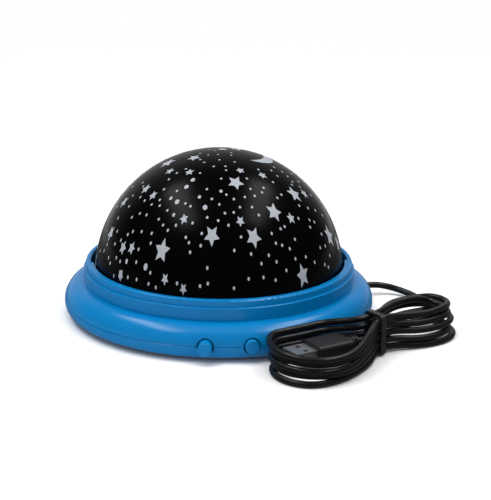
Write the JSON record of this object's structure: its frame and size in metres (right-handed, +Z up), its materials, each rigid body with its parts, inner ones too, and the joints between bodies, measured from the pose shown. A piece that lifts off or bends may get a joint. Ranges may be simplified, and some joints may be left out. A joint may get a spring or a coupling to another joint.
{
  "type": "star night light projector",
  "caption": "Night light projector with a printed star dome turning in a round blue base, with push buttons in front and a tied black lead with a USB type-A plug",
  "frame": {"origin": "On the plane the rubber ring rests on, at the ring's centre, which is not on the ring's material; the dome's axis is +Z", "axes": "Z up along the dome's axis; the front, midway between the two buttons, faces -Y; X to the right seen from the front"},
  "size_m": [0.1948, 0.1908, 0.0841],
  "materials": {
    "blue_plastic": "glossy moulded ABS",
    "black_rubber": "moulded rubber",
    "white_plastic": "moulded ABS",
    "printed_dome": "glossy black film print with pale stars",
    "steel": "zinc plated",
    "plug_metal": "bright nickel plate",
    "black_plastic": "moulded nylon",
    "board_green": "solder mask",
    "led_clear": "water clear epoxy",
    "cord_black": "satin PVC",
    "tie_black": "plastic coated wire",
    "plug_black": "satin PVC overmould",
    "contact_gold": "gold flash",
    "wire_red": "PVC insulation"
  },
  "bodies": {
    "base": {"bottom_cover": "blue_plastic", "base_housing": "blue_plastic", "rubber_ring": "black_rubber", "cord_grommet": "black_rubber", "chassis_deck": "white_plastic", "lamp_pedestal": "white_plastic", "usb_plug_tongue": "white_plastic", "motor_can": "steel", "motor_screws": "steel", "lamp_screws": "steel", "board_screws": "steel", "housing_screws": "steel", "chassis_screws": "steel", "usb_plug_shell": "plug_metal", "motor_gearbox": "black_plastic", "left_switch": "black_plastic", "right_switch": "black_plastic", "controller_chip": "black_plastic", "led_board": "board_green", "control_board": "board_green", "led_white": "led_clear", "led_red": "led_clear", "led_green": "led_clear", "led_blue": "led_clear", "cord_inside": "cord_black", "cord_lead": "cord_black", "cord_hank": "cord_black", "hank_tie": "tie_black", "usb_plug_body": "plug_black", "usb_plug_contacts": "contact_gold", "lamp_leads": "wire_red", "motor_leads": "wire_red"},
    "dome": {"dome_shell": "printed_dome", "turntable_ring_gear": "white_plastic"},
    "pinion": {"drive_pinion": "white_plastic", "motor_shaft": "steel"},
    "left_button": {"left_button": "blue_plastic", "left_plunger": "white_plastic"},
    "right_button": {"right_button": "blue_plastic", "right_plunger": "white_plastic"}
  },
  "joints": [
    {"name": "dome_spin", "type": "hinge", "parent": "base", "child": "dome", "pos_m": [0, 0, 0], "axis": [0, 0, 1], "continuous": true},
    {"name": "pinion_spin", "type": "hinge", "parent": "base", "child": "pinion", "pos_m": [-0.0432, 0, 0], "axis": [0, 0, 1], "continuous": true},
    {"name": "left_button_press", "type": "slide", "parent": "base", "child": "left_button", "axis": [0.1426, 0.9898, 0], "range_m": [0, 0.0032], "stiffness_N_per_m": 150},
    {"name": "right_button_press", "type": "slide", "parent": "base", "child": "right_button", "axis": [0.1426, -0.9898, 0], "range_m": [0, 0.0032]}
  ],
  "couplings": [
    {"joint": "pinion_spin", "follows": "dome_spin", "ratio": 7}
  ]
}
